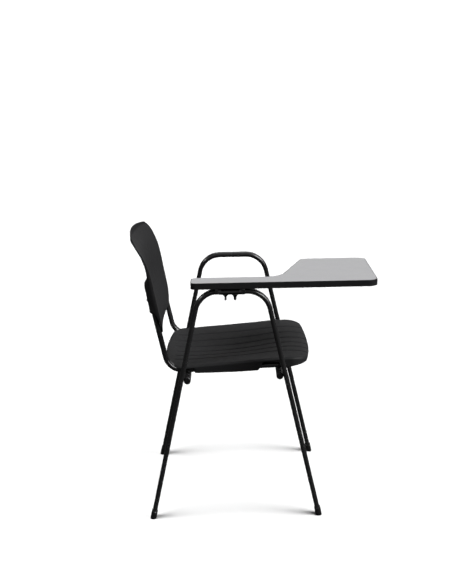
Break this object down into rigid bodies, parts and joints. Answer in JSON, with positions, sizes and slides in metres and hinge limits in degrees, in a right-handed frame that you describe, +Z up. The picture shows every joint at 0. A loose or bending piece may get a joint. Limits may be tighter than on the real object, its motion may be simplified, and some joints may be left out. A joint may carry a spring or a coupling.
{
  "type": "student desk chair",
  "caption": "Classroom chair: black oval-tube frame with closed arms, black plastic seat and backrest shells, and a grey writing tablet that folds up from the right arm.",
  "frame": {"origin": "on the floor, under the middle of the whole chair's box", "axes": "+X the way the sitter faces, +Y the sitter's left, +Z up"},
  "size_m": [0.7018, 0.5688, 0.8005],
  "materials": {
    "frame_paint": "satin black powder coat",
    "cap_plastic": "black moulded polyethylene, slightly glossy",
    "shell_plastic": "black polypropylene with a fine moulded grain",
    "zinc_steel": "zinc plated steel",
    "bracket_paint": "black painted pressed steel",
    "nut_finish": "blackened steel casting",
    "board_core": "particle board",
    "backing_laminate": "grey backing laminate",
    "writing_laminate": "light grey laminate, fine satin texture",
    "edge_band": "black plastic edge band"
  },
  "bodies": {
    "frame": {"side_frame_right": "frame_paint", "side_frame_left": "frame_paint", "back_rail_right": "frame_paint", "back_rail_left": "frame_paint", "cross_tube_front": "frame_paint", "cross_tube_rear": "frame_paint", "seat_tabs": "frame_paint", "cross_tube_plugs_front": "cap_plastic", "cross_tube_plugs_rear": "cap_plastic", "rail_front_plugs": "cap_plastic", "foot_cap_front_right": "cap_plastic", "foot_cap_front_left": "cap_plastic", "foot_cap_rear_right": "cap_plastic", "foot_cap_rear_left": "cap_plastic", "seat_shell": "shell_plastic", "backrest_shell": "shell_plastic", "seat_screws": "zinc_steel", "backrest_screws": "zinc_steel", "clamp_bolts": "zinc_steel", "clamp_washers": "zinc_steel", "hinge_pin": "bracket_paint", "clamp_plate": "bracket_paint", "arm_saddle": "bracket_paint"},
    "tablet": {"tablet_core": "board_core", "tablet_backing_laminate": "backing_laminate", "tablet_writing_laminate": "writing_laminate", "tablet_edge_band": "edge_band", "tablet_hinge_leaf": "bracket_paint", "leaf_screws": "zinc_steel"},
    "wing_nut_front": {"wing_nut_front": "nut_finish"},
    "wing_nut_rear": {"wing_nut_rear": "nut_finish"}
  },
  "joints": [
    {"name": "tablet_fold", "type": "hinge", "parent": "frame", "child": "tablet", "pos_m": [-0.0601, -0.2765, 0.6623], "axis": [1, 0, 0], "range_deg": [0, 100]},
    {"name": "wing_nut_front_turn", "type": "hinge", "parent": "frame", "child": "wing_nut_front", "pos_m": [-0.0468, -0.25421, 0.651], "axis": [0, 0.0212, 0.9998], "continuous": true},
    {"name": "wing_nut_rear_turn", "type": "hinge", "parent": "frame", "child": "wing_nut_rear", "pos_m": [-0.0734, -0.25421, 0.651], "axis": [0, 0.0212, 0.9998], "continuous": true}
  ]
}
